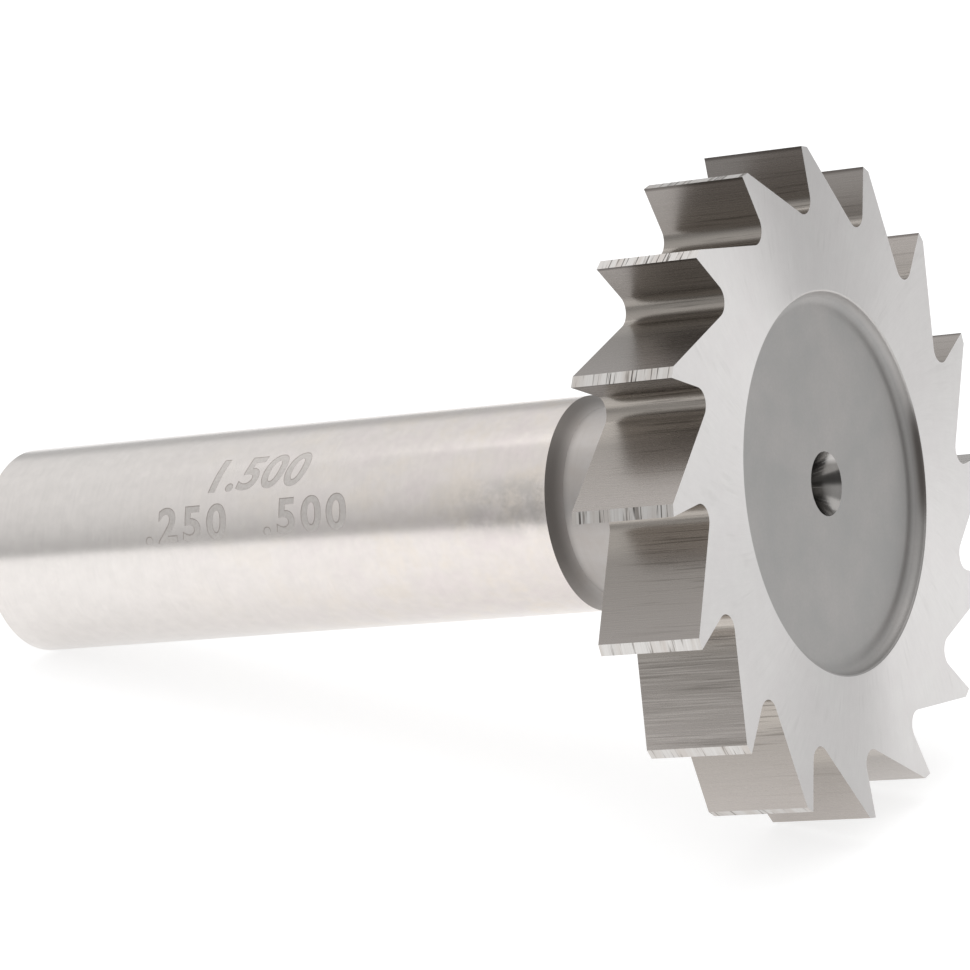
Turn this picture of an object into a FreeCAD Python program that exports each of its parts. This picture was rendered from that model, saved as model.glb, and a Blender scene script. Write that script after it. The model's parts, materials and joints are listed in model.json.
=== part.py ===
import FreeCAD, Part
import Sketcher
import math
import os

# A woodruff keyseat cutter: one piece of high speed steel with a toothed disc (the head) on a
# necked straight shank. It cuts the half-moon pocket that a woodruff key sits in.
#
# The tool is modelled on its own axis, with the front edges of its teeth in the plane z = 0 and
# the shank running towards -Z. At the end it is laid down the way it comes to rest on a table:
# on the back corners of two neighbouring teeth and on the rear rim of its shank.

# Driving dimensions, in millimetres and degrees, as a sheet row each: name, value, meaning.
SIZES = [
    ("cutter_diameter", 38.54, "over the cutting edges, new tools measure a little over 1-1/2 in"),
    ("face_width", 6.34, "over the two sides of the teeth, for a 1/4 in key"),
    ("side_hollow", 0.12, "how far the ground sides fall away towards the axis"),
    ("overall_length", 57.15, "2-1/4 in from the front of the teeth to the shank's end"),
    ("shank_diameter", 12.70, "1/2 in straight shank, held in a collet"),
    ("shank_end_chamfer", 0.50, "45 degree break on the shank's rear rim"),
    ("neck_diameter", 11.12, "7/16 in, so that the shank's end clears the shaft being cut"),
    ("neck_length", 9.44, "from the back of the teeth to the full shank"),
    ("neck_step_angle", 45.0, "half angle of the cone from neck to shank"),
    ("neck_fillet", 1.20, "where the neck runs into the back of the head"),
    ("recess_diameter", 21.90, "turned recess in the front of the head"),
    ("recess_depth", 0.79, "from the front of the teeth to the recess floor"),
    ("recess_corner_radius", 0.70, "large round between the recess floor and its wall"),
    ("centre_diameter", 3.71, "60 degree centre hole, where it opens"),
    ("centre_angle", 60.0, "included angle of the centre's cone"),
    ("centre_pilot_diameter", 1.60, "the small drill beyond the cone"),
    ("centre_pilot_depth", 3.60, "from the opening to the end of the pilot's full width"),
    ("centre_point_angle", 118.0, "included angle of the drill point"),
    ("tooth_count", 16, "straight teeth, evenly spaced"),
    ("rake_angle", 8.0, "positive hook of the cutting faces"),
    ("gullet_depth", 3.87, "from the cutting edges to the bottom of a gullet"),
    ("gullet_radius", 0.92, "round at the bottom of a gullet"),
    ("land_width", 0.68, "ground land behind a cutting edge"),
    ("land_relief", 6.0, "clearance angle of the land"),
]
SIZE = {name: value for name, value, meaning in SIZES}

# How far the tool path of a gullet runs out into the air beyond the cutting edges.
RUN_OUT = 4.0

# Two places closer than this are the same place.
SAME_PLACE = 1e-4

# Sketcher's numbers for the point at a line's start, at its end and at an arc's centre,
# and for the sketch's own axes, whose start point is the origin.
START, END, CENTRE = range(1, 4)
X_AXIS, Y_AXIS = range(-1, -3, -1)

doc = FreeCAD.newDocument("KeyseatCutter")


def make_sheet(rows):
    """Write the driving dimensions into a spreadsheet whose cells the features read."""
    sheet = doc.addObject("Spreadsheet::Sheet", "Sizes")
    for number, (name, value, meaning) in enumerate(rows, start=1):
        sheet.set(f"A{number}", name)
        sheet.set(f"B{number}", str(value))
        sheet.set(f"C{number}", meaning)
        sheet.setAlias(f"B{number}", name)
    return sheet


def origin_feature(body, role):
    """The body's own origin plane or axis that plays this role."""
    return next(item for item in body.Origin.OriginFeatures if item.Role == role)


def new_sketch(body, name, plane):
    sketch = body.newObject("Sketcher::SketchObject", name)
    sketch.AttachmentSupport = [(origin_feature(body, plane), "")]
    sketch.MapMode = "FlatFace"
    return sketch


def polyline(sketch, points):
    """Closed outline of straight lines through the points. Returns the number of each line."""
    lines = []
    for start, end in zip(points, points[1:] + points[:1]):
        lines.append(sketch.addGeometry(Part.LineSegment(start, end), False))
    for line, following in zip(lines, lines[1:] + lines[:1]):
        sketch.addConstraint(Sketcher.Constraint("Coincident", line, END, following, START))
    return lines


def drive(sketch, kind, places, value, name, expression):
    """Add a dimension that follows the sheet. The value only gives the solver its start."""
    index = sketch.addConstraint(Sketcher.Constraint(kind, *places, value))
    sketch.renameConstraint(index, name)
    sketch.setExpression("Constraints." + name, expression)


def fix(sketch, kind, *places):
    sketch.addConstraint(Sketcher.Constraint(kind, *places))


def check_solved(sketch):
    """Stop if a sketch is over-constrained or still has freedom left in it."""
    if sketch.solve() != 0:
        raise RuntimeError(sketch.Label + " can't be solved")
    if not sketch.FullyConstrained:
        raise RuntimeError(sketch.Label + " isn't fully constrained")


def circle_edge(shape, radius, height):
    """The name of the round edge of this radius, about the tool's axis, at this height."""
    for number, edge in enumerate(shape.Edges, start=1):
        curve = edge.Curve
        if not isinstance(curve, Part.Circle):
            continue
        off_axis = math.hypot(curve.Center.x, curve.Center.y)
        miss = off_axis + abs(curve.Radius - radius) + abs(curve.Center.z - height)
        if miss < SAME_PLACE:
            return f"Edge{number}"
    raise RuntimeError(f"no edge of radius {radius} at height {height}")


def turn_blank(body):
    """The blank as it leaves the lathe and the side grinder: head, neck and shank in one."""
    head_radius = SIZE["cutter_diameter"] / 2
    neck_radius = SIZE["neck_diameter"] / 2
    shank_radius = SIZE["shank_diameter"] / 2
    hollow = SIZE["side_hollow"]
    head_back = -SIZE["face_width"]
    shank_front = head_back - SIZE["neck_length"]
    step = (shank_radius - neck_radius) / math.tan(math.radians(SIZE["neck_step_angle"]))
    rear = -SIZE["overall_length"]
    outline = [
        (0, -hollow),
        (head_radius, 0),
        (head_radius, head_back),
        (neck_radius, head_back + hollow),
        (neck_radius, shank_front + step),
        (shank_radius, shank_front),
        (shank_radius, rear),
        (0, rear),
    ]
    sketch = new_sketch(body, "BlankProfile", "XZ_Plane")
    points = [FreeCAD.Vector(across, along, 0) for across, along in outline]
    front, rim, back, neck, cone, shank, end, axis = polyline(sketch, points)

    for line in (rim, neck, shank, axis):
        fix(sketch, "Vertical", line)
    fix(sketch, "Horizontal", end)
    fix(sketch, "PointOnObject", front, START, Y_AXIS)
    fix(sketch, "PointOnObject", front, END, X_AXIS)

    origin = (X_AXIS, START)
    drive(sketch, "DistanceX", (*origin, rim, START), head_radius,
          "head_radius", "Sizes.cutter_diameter / 2")
    drive(sketch, "DistanceY", (rim, END, rim, START), -head_back,
          "face_width", "Sizes.face_width")
    drive(sketch, "DistanceY", (front, START, front, END), hollow,
          "front_hollow", "Sizes.side_hollow")
    drive(sketch, "DistanceY", (back, START, back, END), hollow,
          "back_hollow", "Sizes.side_hollow")
    drive(sketch, "DistanceX", (*origin, neck, START), neck_radius,
          "neck_radius", "Sizes.neck_diameter / 2")
    drive(sketch, "DistanceX", (*origin, shank, START), shank_radius,
          "shank_radius", "Sizes.shank_diameter / 2")
    drive(sketch, "DistanceY", (shank, START, rim, END), SIZE["neck_length"],
          "neck_length", "Sizes.neck_length")
    drive(sketch, "DistanceY", (cone, END, cone, START), step, "step_length",
          "(Sizes.shank_diameter - Sizes.neck_diameter) / 2 / tan(Sizes.neck_step_angle * 1 deg)")
    drive(sketch, "DistanceY", (axis, START, *origin), -rear,
          "overall_length", "Sizes.overall_length")
    doc.recompute()
    check_solved(sketch)

    blank = body.newObject("PartDesign::Revolution", "Blank")
    blank.Profile = sketch
    blank.ReferenceAxis = (sketch, ["V_Axis"])
    blank.Angle = 360
    doc.recompute()
    return blank


def round_neck(body, base):
    """Fillet between the neck and the back of the head, against cracks in hardening."""
    height = SIZE["side_hollow"] - SIZE["face_width"]
    fillet = body.newObject("PartDesign::Fillet", "NeckFillet")
    fillet.Base = (base, [circle_edge(base.Shape, SIZE["neck_diameter"] / 2, height)])
    fillet.setExpression("Radius", "Sizes.neck_fillet")
    doc.recompute()
    return fillet


def break_shank_end(body, base):
    """Chamfer on the rear rim, so that the shank enters a collet."""
    edge = circle_edge(base.Shape, SIZE["shank_diameter"] / 2, -SIZE["overall_length"])
    chamfer = body.newObject("PartDesign::Chamfer", "ShankEndChamfer")
    chamfer.Base = (base, [edge])
    chamfer.setExpression("Size", "Sizes.shank_end_chamfer")
    doc.recompute()
    return chamfer


def face_recess(body):
    """Shallow turned recess in the front, which leaves only the toothed ring to be ground.

    A recess too shallow for its corner radius gets the largest round that fits its wall.
    """
    radius = SIZE["recess_diameter"] / 2
    sketch = new_sketch(body, "RecessProfile", "XY_Plane")
    rim = sketch.addGeometry(Part.Circle(FreeCAD.Vector(), FreeCAD.Vector(0, 0, 1), radius), False)
    fix(sketch, "Coincident", rim, CENTRE, X_AXIS, START)
    drive(sketch, "Diameter", (rim,), 2 * radius, "recess_diameter", "Sizes.recess_diameter")
    doc.recompute()
    check_solved(sketch)

    recess = body.newObject("PartDesign::Pocket", "Recess")
    recess.Profile = sketch
    recess.setExpression("Length", "Sizes.recess_depth")
    doc.recompute()

    wall = ("(Sizes.recess_depth - Sizes.side_hollow"
            " * (1 - Sizes.recess_diameter / Sizes.cutter_diameter))")
    corner = body.newObject("PartDesign::Fillet", "RecessCorner")
    corner.Base = (recess, [circle_edge(recess.Shape, radius, -SIZE["recess_depth"])])
    corner.setExpression("Radius", f"min(Sizes.recess_corner_radius; 0.95 * {wall})")
    doc.recompute()
    return corner


def centre_hole(body, name, opening, opening_expression, inward):
    """A drilled centre that opens at this height and runs inward: -1 down, 1 up the axis."""
    mouth = SIZE["centre_diameter"] / 2
    pilot = SIZE["centre_pilot_diameter"] / 2
    cone = (mouth - pilot) / math.tan(math.radians(SIZE["centre_angle"] / 2))
    point = pilot / math.tan(math.radians(SIZE["centre_point_angle"] / 2))
    depth = SIZE["centre_pilot_depth"]
    outline = [
        (0, opening),
        (mouth, opening),
        (pilot, opening + inward * cone),
        (pilot, opening + inward * depth),
        (0, opening + inward * (depth + point)),
    ]
    sketch = new_sketch(body, name + "Profile", "XZ_Plane")
    points = [FreeCAD.Vector(across, along, 0) for across, along in outline]
    lid, taper, bore, tip, axis = polyline(sketch, points)

    fix(sketch, "Horizontal", lid)
    fix(sketch, "Vertical", bore)
    fix(sketch, "Vertical", axis)
    fix(sketch, "PointOnObject", lid, START, Y_AXIS)
    origin = (X_AXIS, START)

    def along(lower, upper):
        """Two points in the order that makes their distance positive for this hole."""
        return (*lower, *upper) if inward > 0 else (*upper, *lower)

    drive(sketch, "DistanceY", (lid, START, *origin), -opening, "opening", opening_expression)
    drive(sketch, "DistanceX", (*origin, lid, END), mouth,
          "mouth_radius", "Sizes.centre_diameter / 2")
    drive(sketch, "DistanceX", (*origin, bore, START), pilot,
          "pilot_radius", "Sizes.centre_pilot_diameter / 2")
    drive(sketch, "DistanceY", along((taper, START), (taper, END)), cone, "cone_depth",
          "(Sizes.centre_diameter - Sizes.centre_pilot_diameter) / 2"
          " / tan(Sizes.centre_angle / 2 * 1 deg)")
    drive(sketch, "DistanceY", along((lid, END), (bore, END)), depth,
          "pilot_depth", "Sizes.centre_pilot_depth")
    drive(sketch, "DistanceY", along((tip, START), (tip, END)), point, "point_depth",
          "Sizes.centre_pilot_diameter / 2 / tan(Sizes.centre_point_angle / 2 * 1 deg)")
    doc.recompute()
    check_solved(sketch)

    hole = body.newObject("PartDesign::Groove", name)
    hole.Profile = sketch
    hole.ReferenceAxis = (sketch, ["V_Axis"])
    hole.Angle = 360
    doc.recompute()
    return hole


def polar(radius, degrees):
    """The point at this radius and angle in the plane of the teeth."""
    angle = math.radians(degrees)
    return FreeCAD.Vector(radius * math.cos(angle), radius * math.sin(angle), 0)


def tooth_points():
    """The corners of one tooth space, between a cutting edge on the X axis and the next one."""
    pitch = 360 / SIZE["tooth_count"]
    head_radius = SIZE["cutter_diameter"] / 2
    gullet_radius = SIZE["gullet_radius"]
    rake = SIZE["rake_angle"]
    edge = polar(head_radius, 0)
    next_edge = polar(head_radius, pitch)
    land_direction = polar(1, pitch + 90 - SIZE["land_relief"])
    heel = next_edge - land_direction * SIZE["land_width"]

    # The gullet's round touches the cutting face and the circle through the gullet bottoms.
    centre_radius = head_radius - SIZE["gullet_depth"] + gullet_radius
    face = polar(1, rake)
    inward = polar(1, rake + 90)
    offset = gullet_radius + edge.dot(inward)
    along_face = math.sqrt(centre_radius ** 2 - offset ** 2)
    centre = face * along_face + inward * offset
    face_foot = centre - inward * gullet_radius

    # The tooth's back is the tangent from the heel to that round.
    to_heel = heel - centre
    turn = math.degrees(math.acos(gullet_radius / to_heel.Length))
    toward_heel = math.degrees(math.atan2(to_heel.y, to_heel.x))
    back_foot = centre + polar(gullet_radius, toward_heel + turn)
    return {
        "edge": edge,
        "next_edge": next_edge,
        "heel": heel,
        "land_direction": land_direction,
        "centre": centre,
        "face_foot": face_foot,
        "back_foot": back_foot,
    }


def mill_gullets(body):
    """Gash one tooth space, with the relieved land of the next tooth, and repeat it round."""
    pitch = 360 / SIZE["tooth_count"]
    head_radius = SIZE["cutter_diameter"] / 2
    spot = tooth_points()
    centre = spot["centre"]
    face_out = spot["edge"] + polar(RUN_OUT, SIZE["rake_angle"])
    land_out = spot["next_edge"] + spot["land_direction"] * RUN_OUT
    corner = polar(head_radius + RUN_OUT, pitch)
    circle = Part.Circle(centre, FreeCAD.Vector(0, 0, 1), SIZE["gullet_radius"])
    gullet_start = circle.parameter(spot["back_foot"])
    gullet_end = circle.parameter(spot["face_foot"])

    sketch = new_sketch(body, "GulletProfile", "XY_Plane")
    face = sketch.addGeometry(Part.LineSegment(spot["face_foot"], face_out), False)
    gullet = sketch.addGeometry(Part.ArcOfCircle(circle, gullet_start, gullet_end), False)
    back = sketch.addGeometry(Part.LineSegment(spot["back_foot"], spot["heel"]), False)
    land = sketch.addGeometry(Part.LineSegment(spot["heel"], land_out), False)
    side = sketch.addGeometry(Part.LineSegment(land_out, corner), False)
    lid = sketch.addGeometry(Part.LineSegment(corner, face_out), False)
    edge = sketch.addGeometry(Part.Point(spot["edge"]), True)
    spoke = sketch.addGeometry(Part.LineSegment(FreeCAD.Vector(), spot["next_edge"]), True)

    fix(sketch, "Tangent", face, START, gullet, END)
    fix(sketch, "Tangent", gullet, START, back, START)
    fix(sketch, "Coincident", back, END, land, START)
    fix(sketch, "Coincident", land, END, side, START)
    fix(sketch, "Coincident", side, END, lid, START)
    fix(sketch, "Coincident", lid, END, face, END)
    fix(sketch, "PointOnObject", edge, START, X_AXIS)
    fix(sketch, "PointOnObject", edge, START, face)
    fix(sketch, "Coincident", spoke, START, X_AXIS, START)
    fix(sketch, "PointOnObject", spoke, END, land)
    fix(sketch, "PointOnObject", side, END, spoke)
    fix(sketch, "Distance", edge, START, face, END, RUN_OUT)
    fix(sketch, "Distance", spoke, END, land, END, RUN_OUT)
    fix(sketch, "Distance", spoke, END, side, END, RUN_OUT)

    origin = (X_AXIS, START)
    drive(sketch, "DistanceX", (*origin, edge, START), head_radius,
          "edge_radius", "Sizes.cutter_diameter / 2")
    drive(sketch, "Distance", (spoke,), head_radius,
          "next_edge_radius", "Sizes.cutter_diameter / 2")
    drive(sketch, "Angle", (spoke,), math.radians(pitch),
          "pitch", "360 / Sizes.tooth_count * 1 deg")
    drive(sketch, "Angle", (face,), math.radians(SIZE["rake_angle"]),
          "rake", "Sizes.rake_angle * 1 deg")
    drive(sketch, "Radius", (gullet,), SIZE["gullet_radius"],
          "gullet_radius", "Sizes.gullet_radius")
    drive(sketch, "Distance", (*origin, gullet, CENTRE), centre.Length, "gullet_centre_radius",
          "Sizes.cutter_diameter / 2 - Sizes.gullet_depth + Sizes.gullet_radius")
    drive(sketch, "Angle", (land,), math.radians(pitch + 90 - SIZE["land_relief"]),
          "land_angle", "(360 / Sizes.tooth_count + 90 - Sizes.land_relief) * 1 deg")
    drive(sketch, "Distance", (land, START, spoke, END), SIZE["land_width"],
          "land_width", "Sizes.land_width")
    doc.recompute()
    check_solved(sketch)

    gash = body.newObject("PartDesign::Pocket", "Gullet")
    gash.Profile = sketch
    gash.setExpression("Length", "Sizes.face_width")
    doc.recompute()

    teeth = body.newObject("PartDesign::PolarPattern", "Teeth")
    teeth.Originals = [gash]
    teeth.Axis = (origin_feature(body, "Z_Axis"), [""])
    teeth.Angle = 360
    teeth.setExpression("Occurrences", "Sizes.tooth_count")
    body.Tip = teeth
    doc.recompute()
    return teeth


def resting_place():
    """How the tool lies on a table, as a turn about its own axis, a tilt and no shift yet.

    Between two teeth the table touches a cutting edge's back corner on one side and the heel of
    the next tooth's land on the other. The third support is the rear rim of the shank, so the
    axis rises towards the head by the tilt.
    """
    spot = tooth_points()
    chord = spot["heel"] - spot["edge"]
    down = FreeCAD.Vector(chord.y, -chord.x, 0).normalize()
    turn = math.degrees(math.atan2(down.y, down.x))
    head_reach = spot["edge"].dot(down)
    shank_reach = SIZE["shank_diameter"] / 2
    span = SIZE["overall_length"] - SIZE["shank_end_chamfer"] - SIZE["face_width"]
    tilt = math.degrees(math.atan2(head_reach - shank_reach, span))
    to_down = FreeCAD.Rotation(FreeCAD.Vector(0, 0, 1), -turn)
    lean = FreeCAD.Rotation(FreeCAD.Vector(0, 1, 0), 90 - tilt)
    return FreeCAD.Placement(FreeCAD.Vector(), lean.multiply(to_down))


def lay_down(body):
    """Lay the tool on the table, centred over the origin, with its head towards +X."""
    body.Placement = resting_place()
    doc.recompute()
    box = body.Shape.optimalBoundingBox(False, False)
    body.Placement.Base = FreeCAD.Vector(-box.Center.x, -box.Center.y, -box.ZMin)
    doc.recompute()


def make_cutter():
    body = doc.addObject("PartDesign::Body", "KeyseatCutter")
    body.Label = "keyseat_cutter"
    blank = turn_blank(body)
    necked = round_neck(body, blank)
    turned = break_shank_end(body, necked)
    recessed = face_recess(body)
    floor = "Sizes.recess_depth"
    front = centre_hole(body, "FrontCentre", -SIZE["recess_depth"], floor, -1)
    rear = centre_hole(body, "RearCentre", -SIZE["overall_length"], "Sizes.overall_length", 1)
    teeth = mill_gullets(body)
    check_cuts([turned, recessed, front, rear, teeth])
    lay_down(body)
    return body


def check_cuts(features):
    """Each cut must have taken metal away from the one before it."""
    volumes = [feature.Shape.Volume for feature in features]
    for feature, before, after in zip(features[1:], volumes, volumes[1:]):
        print(f"{feature.Label}: {before - after:.1f} mm3 cut away")
        if after >= before:
            raise RuntimeError(feature.Label + " cuts nothing")


def check_document(bodies):
    """Stop before anything is written if a feature failed or a solid isn't sound."""
    for item in doc.Objects:
        if "Invalid" in item.State or "Error" in item.State:
            raise RuntimeError(item.Label + " failed: " + ", ".join(item.State))
    for body in bodies:
        shape = body.Shape
        if shape.isNull() or not shape.isValid() or len(shape.Solids) != 1:
            raise RuntimeError(body.Label + " isn't one valid solid")


make_sheet(SIZES)
doc.recompute()
cutter = make_cutter()
check_document([cutter])

os.makedirs("parts", exist_ok=True)
cutter.Shape.exportStep(f"parts/{cutter.Label}.step")
box = cutter.Shape.optimalBoundingBox(False, False)
print(f"{cutter.Label}: {cutter.Shape.Volume:.0f} mm3, {box.XLength:.2f} x {box.YLength:.2f}"
      f" x {box.ZLength:.2f} mm, {len(cutter.Shape.Faces)} faces")
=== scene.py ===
# %% [markdown]
# A woodruff keyseat cutter, dressed in Blender.
# The real object is one piece of high speed steel: a toothed disc on a necked straight shank. The
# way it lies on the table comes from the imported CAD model. This script gives it the surfaces that
# the grinding wheel, the lathe tool and the milling cutter left, then lights it.

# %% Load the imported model
import json
import math

import bmesh
import bpy
from mathutils import Matrix, Vector


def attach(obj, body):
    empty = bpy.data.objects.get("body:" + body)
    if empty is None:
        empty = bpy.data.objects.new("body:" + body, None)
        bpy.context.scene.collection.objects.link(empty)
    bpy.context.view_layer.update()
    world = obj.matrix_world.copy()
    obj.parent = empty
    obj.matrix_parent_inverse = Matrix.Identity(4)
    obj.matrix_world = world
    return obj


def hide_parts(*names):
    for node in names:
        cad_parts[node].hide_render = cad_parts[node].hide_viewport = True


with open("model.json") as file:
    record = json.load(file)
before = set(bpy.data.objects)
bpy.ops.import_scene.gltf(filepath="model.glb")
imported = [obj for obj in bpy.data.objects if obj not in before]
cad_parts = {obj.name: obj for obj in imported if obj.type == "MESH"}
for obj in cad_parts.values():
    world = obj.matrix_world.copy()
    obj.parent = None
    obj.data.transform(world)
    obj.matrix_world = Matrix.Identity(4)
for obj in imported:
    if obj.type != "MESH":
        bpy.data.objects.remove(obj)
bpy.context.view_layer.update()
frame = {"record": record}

# %% [markdown]
# Every size is written in millimetres times `mm`, because Blender counts in metres, and every angle
# in degrees. The shank's radius and length are read from the part's own mount, so they can't drift
# from the CAD model. The others repeat the drawing of the tool.

# %% Sizes of the tool
mm = 0.001

mounts = {mount["name"]: mount for mount in frame["record"]["mounts"]}
SHANK_RADIUS = mounts["shank"]["dims"]["r_mm"] * mm
SHANK_LENGTH = mounts["shank"]["dims"]["length_mm"] * mm
HEAD_RADIUS = 38.54 / 2 * mm
FACE_WIDTH = 6.34 * mm
SIDE_HOLLOW = 0.12 * mm
NECK_RADIUS = 11.12 / 2 * mm
NECK_LENGTH = 9.44 * mm
NECK_FILLET = 1.20 * mm
END_CHAMFER = 0.50 * mm
RECESS_RADIUS = 21.90 / 2 * mm
RECESS_DEPTH = 0.79 * mm
RECESS_CORNER = 0.70 * mm
CENTRE_RADIUS = 3.71 / 2 * mm
CENTRE_ANGLE = 60
PILOT_RADIUS = 1.60 / 2 * mm
PILOT_DEPTH = 3.60 * mm
DRILL_ANGLE = 118

TEETH = 16
PITCH = 360 / TEETH
RAKE = 8.0
GULLET_DEPTH = 3.87 * mm
GULLET_RADIUS = 0.92 * mm
LAND_WIDTH = 0.68 * mm
LAND_RELIEF = 6.0

STEP_HEIGHT = SHANK_RADIUS - NECK_RADIUS
SHANK_FRONT = -(FACE_WIDTH + NECK_LENGTH)
TOOL_END = SHANK_FRONT - SHANK_LENGTH - END_CHAMFER
print(f"tool is {-TOOL_END / mm:.2f} mm long, head {2 * HEAD_RADIUS / mm:.2f} mm across")

# %% [markdown]
# A cutter is drawn most easily upright on its own axis: teeth in the plane z = 0, shank running
# down. The real one lies on two teeth and the rim of its shank. So every mesh here is first made
# upright, in the tool's own frame, and one matrix then lays it down where the CAD model lies.

# %% Outline of one tooth space
def polar(radius, degrees):
    """The point at this radius and angle, seen from the front of the head."""
    angle = math.radians(degrees)
    return Vector((radius * math.cos(angle), radius * math.sin(angle)))


def tooth_corners():
    """From a cutting edge on the X axis, through the gullet, to the heel of the next tooth."""
    edge = polar(HEAD_RADIUS, 0)
    next_edge = polar(HEAD_RADIUS, PITCH)
    heel = next_edge - polar(LAND_WIDTH, PITCH + 90 - LAND_RELIEF)

    # The gullet's round touches the cutting face and the circle through the gullet bottoms.
    inward = polar(1, RAKE + 90)
    offset = GULLET_RADIUS + edge.dot(inward)
    reach = HEAD_RADIUS - GULLET_DEPTH + GULLET_RADIUS
    centre = polar(math.sqrt(reach ** 2 - offset ** 2), RAKE) + inward * offset

    # The tooth's back is the tangent from the heel to that round.
    to_heel = heel - centre
    turn = math.degrees(math.acos(GULLET_RADIUS / to_heel.length))
    back_turn = math.degrees(math.atan2(to_heel.y, to_heel.x)) + turn
    return edge, centre, RAKE + 270, back_turn, heel, next_edge


EDGE, GULLET_CENTRE, FACE_TURN, BACK_TURN, HEEL, NEXT_EDGE = tooth_corners()
print(f"gullet bottom at {(GULLET_CENTRE.length - GULLET_RADIUS) / mm:.2f} mm radius")

# %% [markdown]
# The table touches the cutting edge of one tooth and the heel of the next one, so the line between
# those two points lies flat. The mount gives the direction of the axis. Two directions are all that
# a matrix needs: the tool's Z axis goes along the shank, and the side that rests looks down.

# %% Lay the tool down as the CAD model lies
chord = HEEL - EDGE
down_in_tool = Vector((chord.y, -chord.x, 0)).normalized()
axis = -Vector(mounts["shank"]["axis"])
shank_middle = Vector(mounts["shank"]["pos_m"])
tool_origin = shank_middle + axis * (SHANK_LENGTH / 2 - SHANK_FRONT)

down = (Vector((0, 0, -1)) + axis * axis.z).normalized()
sideways_in_tool = Vector((0, 0, 1)).cross(down_in_tool)
sideways = axis.cross(down)
tool_axes = Matrix((down_in_tool, sideways_in_tool, Vector((0, 0, 1))))
row_axes = Matrix((down, sideways, axis)).transposed()
LIE = Matrix.Translation(tool_origin) @ (row_axes @ tool_axes).to_4x4()
STAND_UP = LIE.inverted()
print("tool origin", [round(value / mm, 3) for value in tool_origin], "mm")

# %% [markdown]
# The whole skin is a stack of rings with the same number of points, like the slices of a loft. A
# boolean would be shorter to write, but it leaves long thin faces that catch the light badly on
# polished steel. With rings, every edge loop runs where a machinist would draw a line.
# The plain part of the head inside the teeth is the web. Spokes join its circle to the outline.

# %% The ring that follows the teeth
FACE_STEPS = 6
GULLET_STEPS = 12
BACK_STEPS = 9
LAND_STEPS = 3
TOOTH_STEPS = FACE_STEPS + GULLET_STEPS + BACK_STEPS + LAND_STEPS
POINTS = TEETH * TOOTH_STEPS

# Spokes lean back into the tooth, so that none of them crosses the open gullet. These are the
# angles where the first spoke of the face, the gullet, the back and the land meets the web.
FACE_SPOKE = -6.5
GULLET_SPOKE = -3.2
BACK_SPOKE = 5.5
LAND_SPOKE = 14.5


def between(start, end, steps):
    """Evenly spaced points from start up to, but not including, end."""
    return [start + (end - start) * (step / steps) for step in range(steps)]


def one_tooth():
    """Points of the outline and, for each, the angle where its spoke meets the plain web."""
    face_foot = GULLET_CENTRE + polar(GULLET_RADIUS, FACE_TURN)
    back_foot = GULLET_CENTRE + polar(GULLET_RADIUS, BACK_TURN)
    round_turns = between(FACE_TURN, BACK_TURN, GULLET_STEPS)
    outline = between(EDGE, face_foot, FACE_STEPS)
    outline += [GULLET_CENTRE + polar(GULLET_RADIUS, turn) for turn in round_turns]
    outline += between(back_foot, HEEL, BACK_STEPS)
    outline += between(HEEL, NEXT_EDGE, LAND_STEPS)

    web = between(FACE_SPOKE, GULLET_SPOKE, FACE_STEPS)
    web += between(GULLET_SPOKE, BACK_SPOKE, GULLET_STEPS)
    web += between(BACK_SPOKE, LAND_SPOKE, BACK_STEPS)
    web += between(LAND_SPOKE, PITCH + FACE_SPOKE, LAND_STEPS)
    return outline, web


def turned(point, degrees):
    """The same point, turned round the axis."""
    return Matrix.Rotation(math.radians(degrees), 2) @ point


TOOTH_OUTLINE, WEB_TURNS = one_tooth()
HEAD_OUTLINE = [turned(point, PITCH * tooth) for tooth in range(TEETH) for point in TOOTH_OUTLINE]
WEB_ANGLES = [turn + PITCH * tooth for tooth in range(TEETH) for turn in WEB_TURNS]
EVEN_ANGLES = [360 * step / POINTS + FACE_SPOKE for step in range(POINTS)]
print(f"{POINTS} points in a ring, {TOOTH_STEPS} for each tooth")

# %% [markdown]
# Nearly every ring is a plain circle, so a few small functions add them: one circle, a turned
# corner, a centre hole and a ring along the teeth. The strip between a ring and the one before it
# gets the name of a zone, which later picks its finish.

# %% Helpers that add rings
rings = []
zones = []


def add_ring(points, zone):
    """Add a ring. The zone names the strip between it and the ring before it."""
    rings.append(points)
    zones.append(zone)


def add_circle(radius, height, zone, angles=EVEN_ANGLES):
    """A plain circle of points at this height on the axis."""
    add_ring([polar(radius, turn).to_3d() + Vector((0, 0, height)) for turn in angles], zone)


def add_round(centre, radius, start, end, steps, zone):
    """A turned corner: circles along an arc about centre = (radius from axis, height)."""
    for turn in between(start, end, steps) + [end]:
        spot = Vector(centre) + polar(radius, turn)
        add_circle(spot.x, spot.y, zone)


def toothed_ring(height_of, zone):
    """A ring along the teeth. The height of each point follows from its radius."""
    points = [point.to_3d() for point in HEAD_OUTLINE]
    for point in points:
        point.z = height_of(point.xy.length)
    add_ring(points, zone)


CONE_DEPTH = (CENTRE_RADIUS - PILOT_RADIUS) / math.tan(math.radians(CENTRE_ANGLE / 2))
POINT_DEPTH = PILOT_RADIUS / math.tan(math.radians(DRILL_ANGLE / 2))
ALMOST_NOTHING = 0.004 * mm


def add_centre_hole(mouth_height, inward, outwards):
    """Drilled centre: cone, pilot and drill point, listed from the bottom or from the mouth."""
    circles = [
        (ALMOST_NOTHING, mouth_height + inward * (PILOT_DEPTH + POINT_DEPTH)),
        (PILOT_RADIUS, mouth_height + inward * PILOT_DEPTH),
        (PILOT_RADIUS, mouth_height + inward * CONE_DEPTH),
        (CENTRE_RADIUS, mouth_height),
    ]
    for radius, height in circles if outwards else reversed(circles):
        add_circle(radius, height, "centre")


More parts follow.
